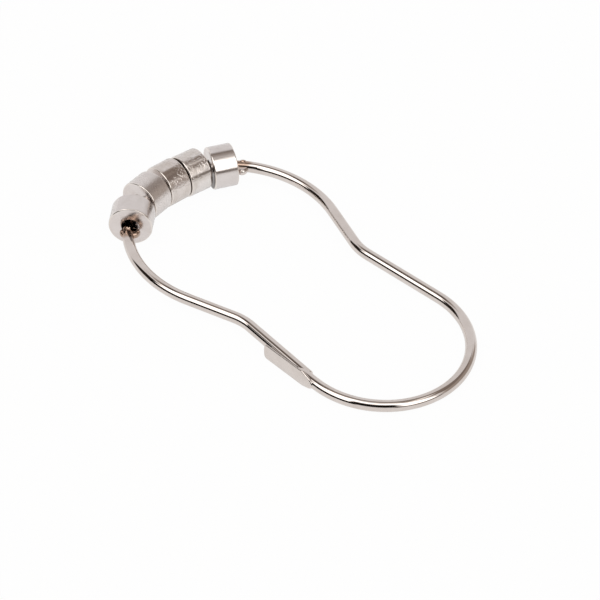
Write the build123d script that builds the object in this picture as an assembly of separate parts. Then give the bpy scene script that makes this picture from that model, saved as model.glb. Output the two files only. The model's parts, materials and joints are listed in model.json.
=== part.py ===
from build123d import *
from math import asin, cos, degrees, radians, sin
import os

# A wire ring that joins a shower curtain to its rod. The wide loop goes over the rod and carries
# five loose rollers, the plain loop goes through the curtain's eyelet, and the spring arm, caught
# in a gutter, closes the ring like a safety pin. It lies on its rollers and its plain loop.

# Wire
wire_diameter = 2.0

# Centre line of the ring, seen from above. Slopes are in degrees from the ring's long axis.
plain_radius = 14.93
loop_spacing = 53.95
side_slope = 4.7
waist_radius = 9.2
flare_slope = 19.2
flank_radius = 20.4
flank_end_slope = 31.2
shoulder_radius = 14.5
shoulder_end_slope = 70.3
top_radius = 22.8
# The near side is the spring arm: it stands this much further out, in degrees, and presses on the clasp
arm_spread = 0.5

# Clasp: the far end of the wire, pressed into an upright strip and curled into a shallow gutter
gutter_length = 11.6
gutter_height = 3.2
gutter_wall = 0.5
gutter_curve = 6.0
gutter_corner = 0.6
gutter_dip = 1.0
gutter_edge = 0.2
# Over the neck the strip comes out of the round wire as a point, as wide as the wire at the throat
gutter_proud = 0.04
neck_length = 2.6
neck_throat = 0.8
neck_point = 0.3
neck_round = 1.2
# The wire's own round runs on along the strip, and is pressed flat over this stretch
press_start = 1.9
press_end = 4.6
press_radius = 5.0
# The arm's tip, from the end of the plain loop, from the wire's own line and from its plane
arm_tip_back = 2.45
arm_tip_inset = 0.62
arm_tip_drop = 0.4
arm_tip_play = 0.1
arm_tip_round = 0.25

# Rollers
roller_diameter = 7.7
roller_length = 4.4
roller_play = 1.2
roller_edge = 0.25
bore_edge = 0.08

# How the rollers lie on the wire: the middle one's place along it, the gap at the pinched side of
# each neighbouring pair, the turn away from the wire's own direction, and the shift to the inside
middle_station = 0.48
roller_gaps = {"12": 0.5, "23": 0.1, "34": 0.1, "45": 0.15}
roller_leans = {1: -7.0, 2: 2.0, 3: 0.7, 4: -6.5, 5: -7.4}
roller_insets = {1: 0.22, 2: -0.26, 3: -0.05, 4: -0.08, 5: 0.25}
# How far the wire hangs below the middle roller's axis, as a share of the play all round
wire_sink = 0.35

# Stops: the wire pinched from above and below, so that its metal spreads wider than the bores
stop_length = 2.4
stop_overlap = 0.2
stop_thickness = 1.15
stop_shift = 0.33
stop_gap = 0.1
pinch_diameter = 1.1
pinch_depth = 0.3

wire_radius = wire_diameter / 2
roller_radius = roller_diameter / 2
bore_radius = wire_radius + roller_play / 2
wire_drop = wire_sink * roller_play / 2


def outward(slope):
    """Unit vector out of the ring, where the wire on the far side slopes towards the top by this much."""
    return Vector(-sin(radians(slope)), cos(radians(slope)))


# Every place below is measured from the centre of the plain loop
top_centre = Vector(top_radius - loop_spacing, 0)

# Head: the two bends of the far half, from the top arc's end, and the same for the near half
shoulder_centre = top_centre + outward(shoulder_end_slope) * (top_radius - shoulder_radius)
flank_centre = shoulder_centre + outward(flank_end_slope) * (shoulder_radius - flank_radius)
far_head = [
    CenterArc(shoulder_centre, shoulder_radius, 90 + shoulder_end_slope, flank_end_slope - shoulder_end_slope),
    CenterArc(flank_centre, flank_radius, 90 + flank_end_slope, -flare_slope - flank_end_slope),
]
near_head = [edge.mirror(Plane.XZ).rotate(Axis(top_centre, (0, 0, 1)), -arm_spread) for edge in far_head]
top_arc = CenterArc(top_centre, top_radius, 270 - shoulder_end_slope - arm_spread,
                    2 * shoulder_end_slope - 180 + arm_spread)

# Sides: on the far side the straight flare and the straight side would meet at this corner,
# and the waist bend rounds it. On the near side the spring arm runs from there to its tip.
flare_start = far_head[1] @ 1
flare_direction = far_head[1] % 1
side_end = outward(side_slope) * plain_radius
side_direction = Vector(cos(radians(side_slope)), sin(radians(side_slope)))
flare_reach = (side_end - flare_start).cross(side_direction).Z / flare_direction.cross(side_direction).Z
far_corner = flare_start + flare_direction * flare_reach
near_corner = near_head[1] @ 1 + (near_head[1] % 1) * flare_reach
arm_tip = Vector(-arm_tip_back, arm_tip_inset - plain_radius, -arm_tip_drop)
far_side = FilletPolyline(flare_start, far_corner, side_end, radius=waist_radius).edges()
near_side = FilletPolyline(arm_tip, near_corner, near_head[1] @ 1, radius=waist_radius).edges()

plain_arc = CenterArc((0, 0), plain_radius, 90 + side_slope, -180 - side_slope)
centre_line = Wire(near_side + near_head + [top_arc] + far_head + far_side + [plain_arc])

# Length of wire from the arm's tip to the middle of the top arc
near_length = sum(edge.length for edge in near_side + near_head)
top_middle = near_length + top_radius * radians(90 - shoulder_end_slope - arm_spread)


def place_on_wire(station):
    """Point, direction and inward side of the wire, this far past the middle of the top arc."""
    distance = top_middle + station
    point = centre_line.position_at(distance, position_mode=PositionMode.LENGTH)
    direction = centre_line.tangent_at(distance, position_mode=PositionMode.LENGTH)
    return point, direction, Vector(direction.Y, -direction.X)


def roller_pose(number, station):
    """Centre and axis of a roller in the plane of the ring."""
    point, direction, inward = place_on_wire(station)
    return point + inward * roller_insets[number], direction.rotate(Axis.Z, -roller_leans[number])


def pinched_gap(first, second):
    """Gap between two neighbouring rollers where their rims come closest, on the inside of the arc."""
    rim = roller_radius - roller_edge
    (centre_1, axis_1), (centre_2, axis_2) = first, second
    corner_1 = centre_1 + axis_1 * roller_length / 2 + Vector(axis_1.Y, -axis_1.X) * rim
    corner_2 = centre_2 - axis_2 * roller_length / 2 + Vector(axis_2.Y, -axis_2.X) * rim
    return (corner_2 - corner_1).dot((axis_1 + axis_2).normalized())


def next_station(number, neighbour, side, gap):
    """Slide a roller along the wire, away from its neighbour, until the gap between them is right."""
    slide_step = 0.01
    station = stations[neighbour] + side * roller_length
    while True:
        pair = [roller_pose(neighbour, stations[neighbour]), roller_pose(number, station)]
        if pinched_gap(*pair[::side]) >= gap:
            return station
        station += side * slide_step


stations = {3: middle_station}
stations[4] = next_station(4, 3, 1, roller_gaps["34"])
stations[5] = next_station(5, 4, 1, roller_gaps["45"])
stations[2] = next_station(2, 3, -1, roller_gaps["23"])
stations[1] = next_station(1, 2, -1, roller_gaps["12"])
stop_station = max(stations[5], -stations[1]) + roller_length / 2 + stop_gap + stop_length / 2


def make_stop(station):
    """The ears that a pinch squeezes out of the wire, wider on the inside of the ring."""
    point, direction, inward = place_on_wire(station)
    plane = Plane(origin=point + inward * stop_shift, x_dir=direction, z_dir=(0, 0, 1))
    half_width = bore_radius + stop_overlap
    ears = extrude(plane * Ellipse(stop_length / 2, half_width), stop_thickness / 2, both=True)
    return fillet(ears.faces().filter_by(GeomType.PLANE).edges(), stop_thickness * 0.4)


def make_pinch_marks(station):
    """The two hollows that the pinching punches leave, above and below."""
    point, _, _ = place_on_wire(station)
    ball_radius = (pinch_diameter**2 / 4 + pinch_depth**2) / (2 * pinch_depth)
    lift = wire_radius - pinch_depth + ball_radius
    return [Pos(point) * Pos(Z=side * lift) * Sphere(ball_radius) for side in (-1, 1)]


def along_wire(radius, length):
    """A round bar about the wire's own line, from the end of the plain loop."""
    return Cylinder(radius, length, rotation=(0, -90, 0), align=(Align.CENTER, Align.CENTER, Align.MIN))


def make_clasp():
    """The gutter and its neck, in line with the wire's far end, hollow towards the inside of the ring."""
    # Strip: a slice of a wide tube, cut to its outline as seen from outside the ring
    curl = along_wire(gutter_curve, gutter_length + 1) - along_wire(gutter_curve - gutter_wall, gutter_length + 1)
    half_height = gutter_height / 2
    with BuildSketch() as panel:
        Polygon((0, neck_point), (-neck_throat, wire_radius), (-neck_length, half_height),
                (-gutter_length, half_height), (-gutter_length, -half_height), (-neck_length, -half_height),
                (-neck_throat, -wire_radius), (0, -neck_point), align=None)
        fillet(panel.vertices().sort_by(Axis.X)[2:6], neck_round)
        fillet(panel.vertices().sort_by(Axis.X)[:2], gutter_corner)
    outline = Plane.XZ * Rot(Z=gutter_dip) * panel.sketch
    strip = Pos(Y=gutter_curve - wire_radius - gutter_proud) * curl & extrude(outline, 2 * wire_radius)
    strip = fillet(strip.edges(), gutter_edge)

    # Neck: the round wire, pressed down to the strip from the inside of the ring
    strip_middle = -wire_radius - gutter_proud + gutter_wall / 2
    with BuildSketch() as pressed:
        with BuildLine():
            slope = RadiusArc((-press_end, strip_middle), (-press_start, wire_radius), press_radius)
            Polyline(slope @ 1, (-press_start, 2 * wire_radius), (-press_end, 2 * wire_radius), slope @ 0)
        make_face()
    neck = along_wire(wire_radius, press_end) - extrude(pressed.sketch, 2 * wire_radius, both=True)

    # Both make room for the arm's tip
    arm_direction = (near_corner - arm_tip).normalized()
    tip_end = Plane(origin=arm_tip - arm_direction * arm_tip_play, z_dir=arm_direction)
    room = tip_end * Cylinder(wire_radius + arm_tip_play, gutter_length,
                              align=(Align.CENTER, Align.CENTER, Align.MIN))
    return Pos(0, -plain_radius) * (strip + neck) - room


def make_ring():
    """The whole bent wire in one solid, lying flat in its own plane."""
    section = Plane(origin=arm_tip, z_dir=centre_line % 0) * Circle(wire_radius)
    ring = sweep(section, path=centre_line)
    tip_edge = ring.edges().filter_by(GeomType.CIRCLE).sort_by_distance(arm_tip)[0]
    ring = fillet(tip_edge, arm_tip_round)
    for station in (-stop_station, stop_station):
        ring += make_stop(station)
        ring -= make_pinch_marks(station)
    return ring + make_clasp()


def make_roller():
    """A turned tube along Z with broken edges."""
    roller = Cylinder(roller_radius, roller_length) - Cylinder(bore_radius, roller_length)
    rims = roller.edges().filter_by(GeomType.CIRCLE).group_by(SortBy.RADIUS)
    roller = chamfer(rims[0], bore_edge)
    rims = roller.edges().filter_by(GeomType.CIRCLE).group_by(SortBy.RADIUS)
    return fillet(rims[-1], roller_edge)


# The ring rests on its plain loop at one end and is held up by its rollers at the other
rise = roller_radius - wire_drop - wire_radius
tilt = degrees(asin(rise / (plain_radius + loop_spacing)))
lift = wire_radius + plain_radius * sin(radians(tilt))
rest = Pos(Z=lift) * Rot(Y=tilt)

parts = {"wire_ring": rest * make_ring()}
roller = make_roller()
for number in sorted(stations):
    centre, axis = roller_pose(number, stations[number])
    on_floor = (rest * Pos(centre)).position
    pose = Plane(origin=(on_floor.X, on_floor.Y, roller_radius), x_dir=(0, 0, 1), z_dir=axis)
    parts[f"roller_{number}"] = pose.location * roller

# The origin is under the middle of the whole
outline = Compound(list(parts.values())).bounding_box()
middle = outline.center()
os.makedirs("parts", exist_ok=True)
for name, solid in parts.items():
    export_step(Pos(-middle.X, -middle.Y, -outline.min.Z) * solid, f"parts/{name}.step")
    print(name, round(solid.volume, 2), "mm3")
print("length", round(outline.size.X, 2), "width", round(outline.size.Y, 2), "height", round(outline.size.Z, 2))
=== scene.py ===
import json
from math import cos, pi, radians, sin

import bpy
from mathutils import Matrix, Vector


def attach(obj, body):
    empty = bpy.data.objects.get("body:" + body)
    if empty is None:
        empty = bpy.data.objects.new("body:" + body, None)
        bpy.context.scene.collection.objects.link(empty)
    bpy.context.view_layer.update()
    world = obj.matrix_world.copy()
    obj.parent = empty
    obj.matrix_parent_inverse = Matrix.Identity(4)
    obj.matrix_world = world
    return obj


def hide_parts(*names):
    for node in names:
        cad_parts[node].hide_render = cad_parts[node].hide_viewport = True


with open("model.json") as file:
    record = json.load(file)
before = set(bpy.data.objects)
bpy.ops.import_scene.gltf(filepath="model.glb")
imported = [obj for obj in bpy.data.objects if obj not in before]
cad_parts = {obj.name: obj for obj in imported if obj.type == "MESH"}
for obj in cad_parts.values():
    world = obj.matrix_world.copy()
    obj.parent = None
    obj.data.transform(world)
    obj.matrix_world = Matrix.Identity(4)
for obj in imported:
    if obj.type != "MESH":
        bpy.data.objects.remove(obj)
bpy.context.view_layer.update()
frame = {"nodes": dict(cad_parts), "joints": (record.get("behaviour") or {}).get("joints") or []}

scene = bpy.context.scene
scene.view_settings.view_transform = "Standard"


# Camera: a long lens, looking down at the ring from beside its clasp.
# The aim is the point that shows at the middle of the picture.
aim = Vector((0.004453, -0.002952, 0.002063))
camera_azimuth = radians(46.371)
camera_elevation = radians(41.463)
camera_distance = 0.41773
bpy.ops.object.camera_add(rotation=(pi / 2 - camera_elevation, 0, camera_azimuth))
camera = bpy.context.object
camera.location = aim + camera_distance * Vector((
    sin(camera_azimuth) * cos(camera_elevation),
    -cos(camera_azimuth) * cos(camera_elevation),
    sin(camera_elevation)))
camera.data.lens = 148.25
camera.data.sensor_width = 36
camera.data.clip_start = 0.01
camera.data.clip_end = 20
scene.camera = camera


# Studio: a room with light walls, large white panels and dark gaps between them, round a white table top.
# Polished metal shows this room, so each panel is given by the part of the room that it fills. Seen past
# the object the room is plain white, and so is the table top but for a trace of shadow.
def put(tree, value, socket):
    """Gives a node's input a plain value, or links it to another node's output."""
    if isinstance(value, bpy.types.NodeSocket):
        tree.links.new(value, socket)
    else:
        socket.default_value = value


def calculate(tree, operation, *values):
    """Adds a Math node and returns its result."""
    node = tree.nodes.new("ShaderNodeMath")
    node.operation = operation
    for value, socket in zip(values, node.inputs):
        put(tree, value, socket)
    return node.outputs[0]


def spread(tree, value, start, end, low=0.0, high=1.0, interpolation="SMOOTHSTEP"):
    """Adds a step from low, where the value is at start, to high, where it is at end, and returns it."""
    node = tree.nodes.new("ShaderNodeMapRange")
    node.interpolation_type = interpolation
    given_values = {"Value": value, "From Min": start, "From Max": end, "To Min": low, "To Max": high}
    for name, given_value in given_values.items():
        put(tree, given_value, node.inputs[name])
    return node.outputs["Result"]


def lay_over(tree, mask, below, above):
    """Lays one colour over another where the mask is 1, and returns what then shows."""
    node = tree.nodes.new("ShaderNodeMix")
    node.data_type = "RGBA"
    # a colour mix has its two colours on inputs 6 and 7, and the mixed one on output 2
    put(tree, mask, node.inputs[0])
    put(tree, below, node.inputs[6])
    put(tree, above, node.inputs[7])
    return node.outputs[2]


def start_group(name, inputs, outputs):
    """Starts a node group, and returns it with its inputs' and outputs' sockets."""
    group = bpy.data.node_groups.new(name, "ShaderNodeTree")
    for socket, kind in inputs.items():
        group.interface.new_socket(socket, in_out="INPUT", socket_type=kind)
    for socket, kind in outputs.items():
        group.interface.new_socket(socket, in_out="OUTPUT", socket_type=kind)
    return group, group.nodes.new("NodeGroupInput").outputs, group.nodes.new("NodeGroupOutput").inputs


def place_group(tree, group, values):
    """Places a node group, gives its inputs their values, and returns its outputs."""
    node = tree.nodes.new("ShaderNodeGroup")
    node.node_tree = group
    for name, value in values.items():
        put(tree, value, node.inputs[name])
    return node.outputs


number = "NodeSocketFloat"
panel_edges = ("From Azimuth", "To Azimuth", "From Elevation", "To Elevation", "Softness")
panel, given, result = start_group(
    "room_panel", dict.fromkeys(("Azimuth", "Elevation", *panel_edges), number), {"Mask": number})
inside_edges = (
    (given["Azimuth"], given["From Azimuth"]),
    (given["To Azimuth"], given["Azimuth"]),
    (given["Elevation"], given["From Elevation"]),
    (given["To Elevation"], given["Elevation"]))
mask = 1.0
for larger, smaller in inside_edges:
    past_edge = calculate(panel, "SUBTRACT", larger, smaller)
    share = calculate(panel, "DIVIDE", past_edge, given["Softness"])
    # an edge is as wide as the softness, with half of it on each side
    mask = calculate(panel, "MULTIPLY", mask, spread(panel, share, start=-0.5, end=0.5))
put(panel, mask, result["Mask"])

room = bpy.data.worlds.new("pale_room")
room.use_nodes = True
scene.world = room
tree = room.node_tree
tree.nodes.clear()
direction = tree.nodes.new("ShaderNodeTexCoord")
split = tree.nodes.new("ShaderNodeSeparateXYZ")
put(tree, direction.outputs["Generated"], split.inputs[0])
azimuth = calculate(tree, "DEGREES", calculate(tree, "ARCTAN2", split.outputs["Y"], split.outputs["X"]))
elevation = calculate(tree, "DEGREES", calculate(tree, "ARCSINE", split.outputs["Z"]))

wall_colour = (0.84, 0.82, 0.82, 1)
# azimuth from and to, elevation from and to, softness, all in degrees, and the colour
room_panels = [
    (95, 181, 56, 78, 7, (0.33, 0.28, 0.25, 1)),
    (-181, -150, 56, 78, 7, (0.33, 0.28, 0.25, 1)),
    (26, 90, 3, 62, 11, (0.40, 0.34, 0.30, 1)),
    (30, 103, 38, 61, 9, (0.25, 0.205, 0.18, 1)),
    (60, 126, 56, 66, 8, (0.27, 0.22, 0.19, 1)),
    (20, 118, 69, 78, 5, (0.36, 0.31, 0.27, 1)),
    (-152, -120, 4, 46, 7, (0.022, 0.016, 0.012, 1)),
    (-130, -70, -5, 29, 6, (0.008, 0.006, 0.005, 1)),
    (-78, -24, 10, 52, 8, (0.008, 0.006, 0.005, 1)),
    (-30, 24, 1, 17, 6, (0.16, 0.13, 0.11, 1)),
    (-128, -78, 31, 56, 6, (2.2, 2.15, 2.1, 1)),
    (-144, -78, 51, 66, 6, (2.2, 2.15, 2.1, 1)),
    (-150, 10, 62, 82, 6, (2.2, 2.15, 2.1, 1)),
    (12, 34, 30, 58, 8, (0.95, 0.92, 0.90, 1)),
    (-18, 19, 17, 66, 7, (2.2, 2.15, 2.1, 1)),
    (10, 75, 63, 72, 5, (1.2, 1.15, 1.1, 1)),
    (-181, -146, 61, 67, 3, (0.06, 0.045, 0.04, 1)),
    (110, 181, 61, 65, 3, (0.12, 0.10, 0.09, 1)),
]
room_colour = wall_colour
for *edges, panel_colour in room_panels:
    values = {"Azimuth": azimuth, "Elevation": elevation, **dict(zip(panel_edges, edges))}
    here = place_group(tree, panel, values)
    room_colour = lay_over(tree, here["Mask"], room_colour, panel_colour)

pure_white = (1, 1, 1, 1)
seen = tree.nodes.new("ShaderNodeLightPath")
light = tree.nodes.new("ShaderNodeBackground")
put(tree, room_colour, light.inputs["Color"])
backdrop = tree.nodes.new("ShaderNodeBackground")
backdrop.inputs["Color"].default_value = pure_white
either = tree.nodes.new("ShaderNodeMixShader")
put(tree, seen.outputs["Is Camera Ray"], either.inputs[0])
put(tree, light.outputs[0], either.inputs[1])
put(tree, backdrop.outputs[0], either.inputs[2])
surroundings = tree.nodes.new("ShaderNodeOutputWorld")
put(tree, either.outputs[0], surroundings.inputs["Surface"])

table_size = 3
white_share_seen = 0.97
white_share_mirrored = 0.72
bpy.ops.object.select_all(action="DESELECT")
bpy.ops.mesh.primitive_grid_add(x_subdivisions=8, y_subdivisions=8, size=table_size, location=(0, 0, 0))
floor = bpy.context.object
floor.name = "table_top"
table_white = bpy.data.materials.new("white_table_top")
table_white.use_nodes = True
tree = table_white.node_tree
tree.nodes.clear()
matt = tree.nodes.new("ShaderNodeBsdfDiffuse")
matt.inputs["Color"].default_value = (0.82, 0.80, 0.79, 1)
glow = tree.nodes.new("ShaderNodeEmission")
glow.inputs["Color"].default_value = pure_white
seen = tree.nodes.new("ShaderNodeLightPath")
bare = calculate(tree, "MULTIPLY", seen.outputs["Is Camera Ray"], white_share_seen)
mirrored = calculate(tree, "MULTIPLY_ADD", seen.outputs["Is Glossy Ray"], white_share_mirrored, bare)
either = tree.nodes.new("ShaderNodeMixShader")
put(tree, mirrored, either.inputs[0])
put(tree, matt.outputs[0], either.inputs[1])
put(tree, glow.outputs[0], either.inputs[2])
table_surface = tree.nodes.new("ShaderNodeOutputMaterial")
put(tree, either.outputs[0], table_surface.inputs["Surface"])
floor.data.materials.append(table_white)


# Wire ring: one length of hard-drawn steel wire, bent to the pear shape and nickel-plated after its free
# end was pressed flat and curled into the clasp. Two pinches in it keep the rollers on the wide loop.
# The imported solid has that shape, so it stays and is dressed.
vector = "NodeSocketVector"
colour = "NodeSocketColor"


def noise(tree, place, scale, detail, roughness=0.5):
    """Adds a noise texture and returns its values."""
    node = tree.nodes.new("ShaderNodeTexNoise")
    values = {"Vector": place, "Scale": scale, "Detail": detail, "Roughness": roughness}
    for name, value in values.items():
        put(tree, value, node.inputs[name])
    return node.outputs["Fac"]


# The plating's warm tone varies a little from place to place, and is duller where it is darker.
tone, given, result = start_group(
    "plating_tone", {"Vector": vector, "Bright": colour, "Dull": colour, "Scale": number},
    {"Color": colour, "Dullness": number})
clouds = noise(tone, given["Vector"], given["Scale"], detail=5, roughness=0.62)
dullness = spread(tone, clouds, start=0.40, end=0.72, interpolation="LINEAR")
put(tone, lay_over(tone, dullness, given["Bright"], given["Dull"]), result["Color"])
put(tone, dullness, result["Dullness"])

# Shallow pits lie close together in patches, with bare plating between the patches.
pits, given, result = start_group(
    "plating_pits", {"Vector": vector, "Pit Scale": number, "Patch Scale": number, "Cover": number},
    {"Pits": number})
grains = noise(pits, given["Vector"], given["Pit Scale"], detail=1, roughness=0.55)
hollows = spread(pits, grains, start=0.50, end=0.62)
patches = noise(pits, given["Vector"], given["Patch Scale"], detail=2)
past_cover = calculate(pits, "SUBTRACT", patches, calculate(pits, "SUBTRACT", 1.0, given["Cover"]))
in_patch = spread(pits, past_cover, start=-0.08, end=0.10)
put(pits, calculate(pits, "MULTIPLY", hollows, in_patch), result["Pits"])

# The drawn and tumbled metal under the plating has soft waves, with a little fine grain on them.
waves, given, result = start_group(
    "soft_waves", {"Vector": vector, "Wave Scale": number, "Grain Scale": number, "Grain Share": number},
    {"Height": number})
swell = noise(waves, given["Vector"], given["Wave Scale"], detail=1)
grain = noise(waves, given["Vector"], given["Grain Scale"], detail=3)
fine = calculate(waves, "MULTIPLY", grain, given["Grain Share"])
put(waves, calculate(waves, "ADD", swell, fine), result["Height"])


def nickel(name, bright, dull, smoothest, roughest, cover, pit_depth, wave_height, grain_share=0.1):
    """A nickel-plated finish: its two tones, its range of roughness, and how much of it is pitted."""
    finish = bpy.data.materials.new(name)
    finish.use_nodes = True
    tree = finish.node_tree
    shader = tree.nodes["Principled BSDF"]
    shader.inputs["Metallic"].default_value = 1
    place = tree.nodes.new("ShaderNodeTexCoord").outputs["Object"]
    toned = place_group(tree, tone, {
        "Vector": place, "Bright": (*bright, 1), "Dull": (*dull, 1), "Scale": 330})
    pitted = place_group(tree, pits, {
        "Vector": place, "Pit Scale": 2300, "Patch Scale": 240, "Cover": cover})
    waved = place_group(tree, waves, {
        "Vector": place, "Wave Scale": 300, "Grain Scale": 3600, "Grain Share": grain_share})
    put(tree, toned["Color"], shader.inputs["Base Color"])
    dulled = calculate(tree, "MAXIMUM", toned["Dullness"], pitted["Pits"])
    rough = spread(tree, dulled, start=0.0, end=1.0, low=smoothest, high=roughest, interpolation="LINEAR")
    put(tree, rough, shader.inputs["Roughness"])
    wave_bump = tree.nodes.new("ShaderNodeBump")
    wave_bump.inputs["Distance"].default_value = wave_height
    put(tree, waved["Height"], wave_bump.inputs["Height"])
    pit_bump = tree.nodes.new("ShaderNodeBump")
    pit_bump.invert = True
    pit_bump.inputs["Distance"].default_value = pit_depth
    put(tree, pitted["Pits"], pit_bump.inputs["Height"])
    put(tree, wave_bump.outputs["Normal"], pit_bump.inputs["Normal"])
    put(tree, pit_bump.outputs["Normal"], shader.inputs["Normal"])
    return finish


# A round stain, and likewise a round patch of painted shade, is darkest round its middle: at full
# strength within one distance, and gone at another.
spot, given, result = start_group(
    "round_stain_and_shade", {"Vector": vector, "Middle": vector, "Full Reach": number, "No Reach": number,
                    "Strength": number, "Color": colour, "Stain And Shade": colour},
    {"Color": colour})
away = spot.nodes.new("ShaderNodeVectorMath")
away.operation = "DISTANCE"
put(spot, given["Vector"], away.inputs[0])
put(spot, given["Middle"], away.inputs[1])
near = spread(spot, away.outputs["Value"], start=given["No Reach"], end=given["Full Reach"],
              high=given["Strength"])
put(spot, lay_over(spot, near, given["Color"], given["Stain And Shade"]), result["Color"])


def lay_stain_and_shade(finish, middle, full_reach, no_reach, strength, stain_and_shade_colour):
    """Lays a round darker patch over a finish: real wear at the stops, and painted shade on the last
    roller's inner face.
    """
    tree = finish.node_tree
    base_colour = tree.nodes["Principled BSDF"].inputs["Base Color"]
    stained = place_group(tree, spot, {
        "Vector": tree.nodes["Texture Coordinate"].outputs["Object"],
        "Middle": middle,
        "Full Reach": full_reach,
        "No Reach": no_reach,
        "Strength": strength,
        "Color": base_colour.links[0].from_socket,
        "Stain And Shade": stain_and_shade_colour})
    put(tree, stained["Color"], base_colour)


drawn_wire = nickel("plated_wire", bright=(0.71, 0.655, 0.62), dull=(0.64, 0.58, 0.54), smoothest=0.05,
                    roughest=0.11, cover=0.22, pit_depth=0.0000012, wave_height=0.000003)

# The plating has worn brown at the two stops, each of them beside an outermost roller.
worn_brown = (0.36, 0.24, 0.17, 1)
stop_distances = {"roller_1": -0.0035, "roller_5": 0.00387}
joints = {joint["child"]: joint for joint in frame["joints"]}
for name, distance in stop_distances.items():
    stop = Vector(joints[name]["pos_m"]) + distance * Vector(joints[name]["axis"])
    lay_stain_and_shade(drawn_wire, stop, full_reach=0.0015, no_reach=0.0025, strength=0.85, stain_and_shade_colour=worn_brown)

# A thin dark line is painted in the seam where the free end rests against the clasp's rim: painted shade
# of the gap there, with some dirt in it.
seam_middle = (0.01325, -0.01550, 0.00330)
seam_half_size = (0.00400, 0.00005, 0.00035)
seam_softness = 0.00007
seam_shade_and_dirt = (0.035, 0.022, 0.016, 1)
tree = drawn_wire.node_tree
offset = tree.nodes.new("ShaderNodeVectorMath")
offset.operation = "SUBTRACT"
offset.inputs[1].default_value = seam_middle
put(tree, tree.nodes["Texture Coordinate"].outputs["Object"], offset.inputs[0])
apart = tree.nodes.new("ShaderNodeVectorMath")
apart.operation = "ABSOLUTE"
put(tree, offset.outputs["Vector"], apart.inputs[0])
split = tree.nodes.new("ShaderNodeSeparateXYZ")
put(tree, apart.outputs["Vector"], split.inputs[0])
in_seam = 1.0
for axis, half in zip("XYZ", seam_half_size):
    within = spread(tree, split.outputs[axis], start=half + seam_softness, end=half)
    in_seam = calculate(tree, "MULTIPLY", in_seam, within)
base_colour = tree.nodes["Principled BSDF"].inputs["Base Color"]
# painted shade with some dirt: the seam line darkens the base colour
put(tree, lay_over(tree, in_seam, base_colour.links[0].from_socket, seam_shade_and_dirt), base_colour)

ring = frame["nodes"]["wire_ring"]
ring.data.materials.clear()
ring.data.materials.append(drawn_wire)


# Rollers: short lengths of thick steel tube with their rims rounded in the tumbling barrel, plated,
# and threaded loose on the wire between its two pinched stops. The third and fourth are pitted, and
# the end faces between the last three are painted dark, for the shade in the gaps between them.
roller_radius = 0.00385
roller_length = 0.0044
bore_radius = 0.0016
rim_rounding = 0.00022
rim_steps = 5
bore_rounding = 0.00008
bore_steps = 3
face_tones = {"bright": (0.74, 0.69, 0.67), "dull": (0.68, 0.62, 0.59)}
clean_side = nickel("roller_side", bright=(0.76, 0.715, 0.70), dull=(0.70, 0.655, 0.63), smoothest=0.14,
                    roughest=0.20, cover=0.30, pit_depth=0.000004, wave_height=0.000010)
worn_side = nickel("worn_roller_side", bright=(0.78, 0.735, 0.715), dull=(0.72, 0.675, 0.65),
                   smoothest=0.26, roughest=0.32, cover=0.30, pit_depth=0.000004, wave_height=0.000010)
marked_side = nickel("marked_roller_side", bright=(0.74, 0.685, 0.655), dull=(0.60, 0.535, 0.48),
                     smoothest=0.08, roughest=0.17, cover=0.51, pit_depth=0.000016, wave_height=0.000010)
pitted_side = nickel("pitted_roller_side", bright=(0.80, 0.76, 0.735), dull=(0.64, 0.58, 0.53),
                     smoothest=0.11, roughest=0.20, cover=0.56, pit_depth=0.000016, wave_height=0.000010)
end_face = nickel("roller_end_face", **face_tones, smoothest=0.20, roughest=0.30, cover=0.35,
                  pit_depth=0.000008, wave_height=0.000010, grain_share=0.2)
inner_face = nickel("inner_roller_end_face", **face_tones, smoothest=0.20, roughest=0.30, cover=0.35,
                    pit_depth=0.000008, wave_height=0.000010, grain_share=0.2)
# Painted shade: the end faces that meet in the gaps between the last three rollers are made dark.
gap_shade_face = nickel("gap_shade_roller_end_face", bright=(0.27, 0.22, 0.19), dull=(0.12, 0.09, 0.075),
                     smoothest=0.30, roughest=0.45, cover=0.4, pit_depth=0.000010,
                     wave_height=0.000010, grain_share=0.3)
# The rims are worn smooth by rubbing, and their lighter colour is partly a painted highlight along them.
rubbed_and_highlit_rim = nickel("rubbed_roller_rim_with_painted_highlight", bright=(0.82, 0.77, 0.73), dull=(0.72, 0.66, 0.61),
                    smoothest=0.06, roughest=0.13, cover=0.25, pit_depth=0.000003, wave_height=0.000006)

# The last roller's face to the gap gets painted shade only low down, towards the middle of the ring,
# where the gap is darkest.
last = joints["roller_5"]
middle_of_inner_face = Vector(last["pos_m"]) - roller_length / 2 * Vector(last["axis"])
to_low_edge = 0.0033 * Vector((0.54, -0.52, -0.55))
# painted shade: a dark round patch low on the inner end face
lay_stain_and_shade(inner_face, middle_of_inner_face + to_low_edge, full_reach=0.0020, no_reach=0.0044, strength=0.95,
      stain_and_shade_colour=(0.09, 0.065, 0.055, 1))

bpy.ops.object.select_all(action="DESELECT")
bpy.ops.mesh.primitive_cylinder_add(vertices=128, radius=roller_radius, depth=roller_length,
                                    location=(0, 0, 0))
turned = bpy.context.object
turned.name = "roller_pattern"
bpy.ops.object.mode_set(mode="EDIT")
bpy.ops.mesh.select_mode(type="FACE")
bpy.ops.mesh.select_all(action="DESELECT")
bpy.ops.object.mode_set(mode="OBJECT")
least_flat_end_slope = 0.9
for face in turned.data.polygons:
    face.select = abs(face.normal.z) > least_flat_end_slope
bpy.ops.object.mode_set(mode="EDIT")
bpy.ops.mesh.inset(thickness=roller_radius - bore_radius, use_boundary=True)
bpy.ops.mesh.bridge_edge_loops()

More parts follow.
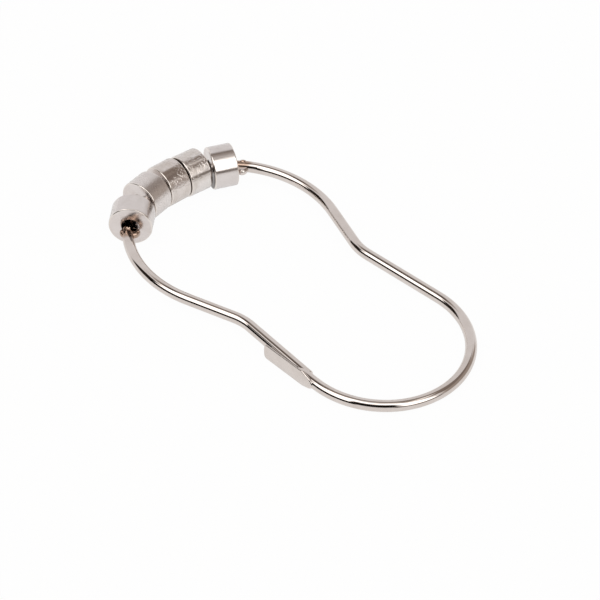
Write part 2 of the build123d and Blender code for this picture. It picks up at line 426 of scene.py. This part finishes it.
# The rims and the bore's edges are rounded.
tolerance = 0.00001
bpy.ops.mesh.select_mode(type="EDGE")
for radius, rounding, steps in ((roller_radius, rim_rounding, rim_steps),
                                (bore_radius, bore_rounding, bore_steps)):
    bpy.ops.mesh.select_all(action="DESELECT")
    bpy.ops.object.mode_set(mode="OBJECT")
    points = turned.data.vertices
    for edge in turned.data.edges:
        ends = [points[i].co for i in edge.vertices]
        edge.select = all(abs(abs(end.z) - roller_length / 2) < tolerance
                          and abs(end.xy.length - radius) < tolerance for end in ends)
    bpy.ops.object.mode_set(mode="EDIT")
    bpy.ops.mesh.bevel(offset=rounding, segments=steps, profile=0.5)
bpy.ops.mesh.select_all(action="SELECT")
bpy.ops.mesh.remove_doubles(threshold=0.0000001)
bpy.ops.mesh.normals_make_consistent(inside=False)
bpy.ops.object.mode_set(mode="OBJECT")
bpy.ops.object.shade_smooth_by_angle(angle=radians(40))
bpy.ops.object.modifier_add(type="WEIGHTED_NORMAL")
turned.modifiers[0].keep_sharp = True
bpy.ops.object.modifier_apply(modifier=turned.modifiers[0].name)

# A face that belongs to no end and no rim is the side or the bore, and keeps the first finish.
lower_end, upper_end, rim = 1, 2, 3
least_end_slope = 0.6
least_rim_slope = 0.01
for face in turned.data.polygons:
    slope = face.normal.z
    if face.center.xy.length > roller_radius - rim_rounding and abs(slope) > least_rim_slope:
        face.material_index = rim
    elif slope < -least_end_slope:
        face.material_index = lower_end
    elif slope > least_end_slope:
        face.material_index = upper_end

# the finish of each roller's side, of its end face nearer roller_1, and of the one nearer roller_5
finishes = {
    "roller_1": (clean_side, end_face, end_face),
    "roller_2": (worn_side, end_face, end_face),
    "roller_3": (marked_side, end_face, gap_shade_face),
    "roller_4": (pitted_side, gap_shade_face, gap_shade_face),
    "roller_5": (clean_side, inner_face, end_face),
}
for name in sorted(finishes):
    joint = joints[name]
    bpy.ops.object.select_all(action="DESELECT")
    turned.select_set(True)
    bpy.context.view_layer.objects.active = turned
    bpy.ops.object.duplicate(linked=False)
    roller = bpy.context.object
    roller.name = name.replace("roller", "plated_roller")
    roller.rotation_mode = "QUATERNION"
    roller.rotation_quaternion = Vector(joint["axis"]).to_track_quat("Z", "Y")
    roller.location = joint["pos_m"]
    bpy.ops.object.transform_apply(location=True, rotation=True, scale=True)
    for finish in (*finishes[name], rubbed_and_highlit_rim):
        roller.data.materials.append(finish)
    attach(roller, name)
    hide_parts(name)
bpy.data.objects.remove(turned)
